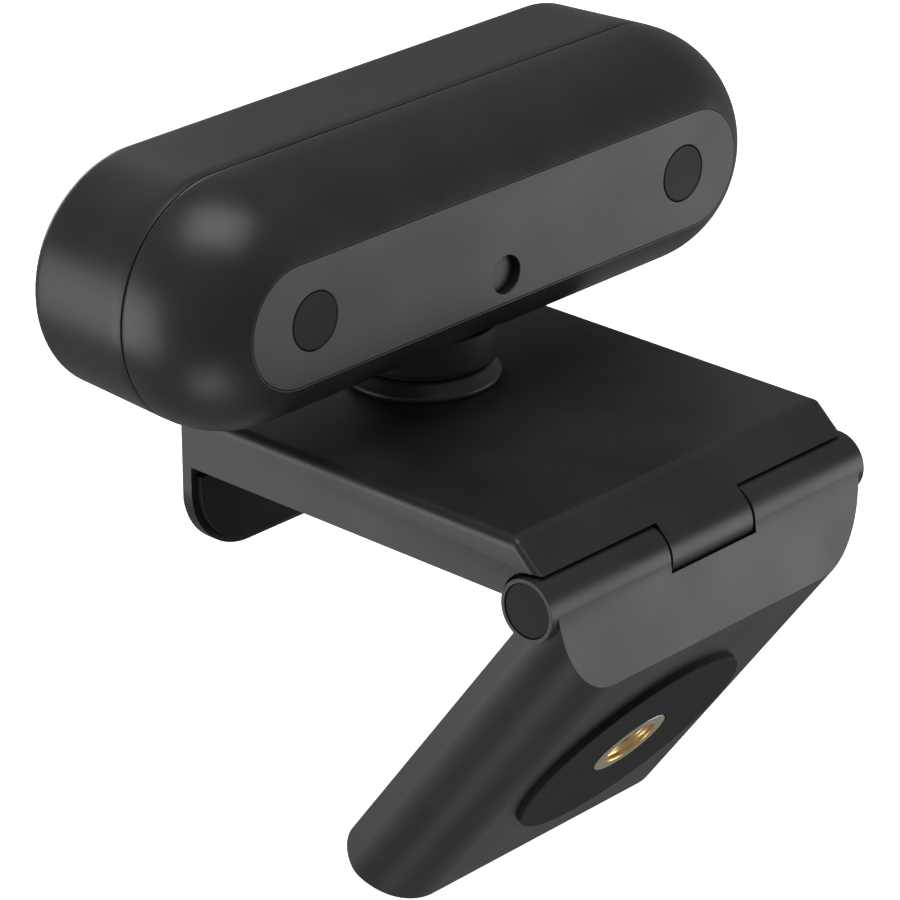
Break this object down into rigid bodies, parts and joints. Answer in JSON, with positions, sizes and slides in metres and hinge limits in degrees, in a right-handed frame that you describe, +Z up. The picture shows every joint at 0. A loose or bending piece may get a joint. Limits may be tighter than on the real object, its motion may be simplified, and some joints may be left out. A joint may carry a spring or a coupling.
{
  "type": "webcam on monitor clip",
  "caption": "Webcam with a rounded long head on a turning neck, on a folding monitor clip whose hinged leg has a tripod thread.",
  "frame": {"origin": "centre of the rest pad's lower face, where the clip sits on the top edge of a monitor", "axes": "+Z up, the lens looks along -Y and the rear panel faces +Y, the hinge pin and the head's long axis lie along X"},
  "size_m": [0.086, 0.0559, 0.0802],
  "materials": {
    "shell_plastic": "satin",
    "dark_plastic": "matte",
    "gloss_black": "gloss",
    "lens_glass": "coated",
    "inner_plastic": "matte",
    "chip": "gloss",
    "board": "satin",
    "light_pipe": "translucent",
    "connector_plastic": "matte",
    "rubber": "matte",
    "steel": "zinc plated",
    "brass_insert": "machined"
  },
  "bodies": {
    "clip": {"platform": "shell_plastic", "base_ring": "shell_plastic", "slip_washer": "inner_plastic", "wave_washer": "steel", "under_cover": "dark_plastic", "cover_screws": "steel", "rest_pad": "rubber", "lip_pad": "rubber", "hinge_pin": "steel", "hinge_washers": "steel"},
    "leg": {"leg_shell": "shell_plastic", "leg_cover": "dark_plastic", "leg_screws": "steel", "leg_pad": "rubber", "foot_disc": "rubber", "thread_insert": "brass_insert", "barrel_caps": "dark_plastic"},
    "neck": {"neck_stem": "shell_plastic", "tilt_pin": "steel", "tilt_washers": "steel", "pan_retainer": "steel", "pan_screw": "steel"},
    "head": {"front_shell": "shell_plastic", "rear_cover": "shell_plastic", "rear_panel": "shell_plastic", "rear_caps": "dark_plastic", "outlet_plug": "dark_plastic", "front_glass": "gloss_black", "lens_ring": "gloss_black", "lens_element": "lens_glass", "lens_barrel": "inner_plastic", "lens_holder": "inner_plastic", "image_sensor": "chip", "main_board": "board", "microphones": "steel", "status_light": "light_pipe", "header_connector": "connector_plastic", "board_screws": "steel", "shell_screws": "steel", "tilt_bracket": "steel", "bracket_screws": "steel"}
  },
  "joints": [
    {"name": "leg_hinge", "type": "hinge", "parent": "clip", "child": "leg", "pos_m": [0, 0.029, 0.0011], "axis": [1, 0, 0], "range_deg": [-48, 70]},
    {"name": "head_pan", "type": "hinge", "parent": "clip", "child": "neck", "pos_m": [0, -0.0079, 0.00784], "axis": [0, 0, 1], "range_deg": [-180, 180]},
    {"name": "head_tilt", "type": "hinge", "parent": "neck", "child": "head", "pos_m": [0, -0.0079, 0.0153], "axis": [1, 0, 0], "range_deg": [-10, 10]}
  ]
}
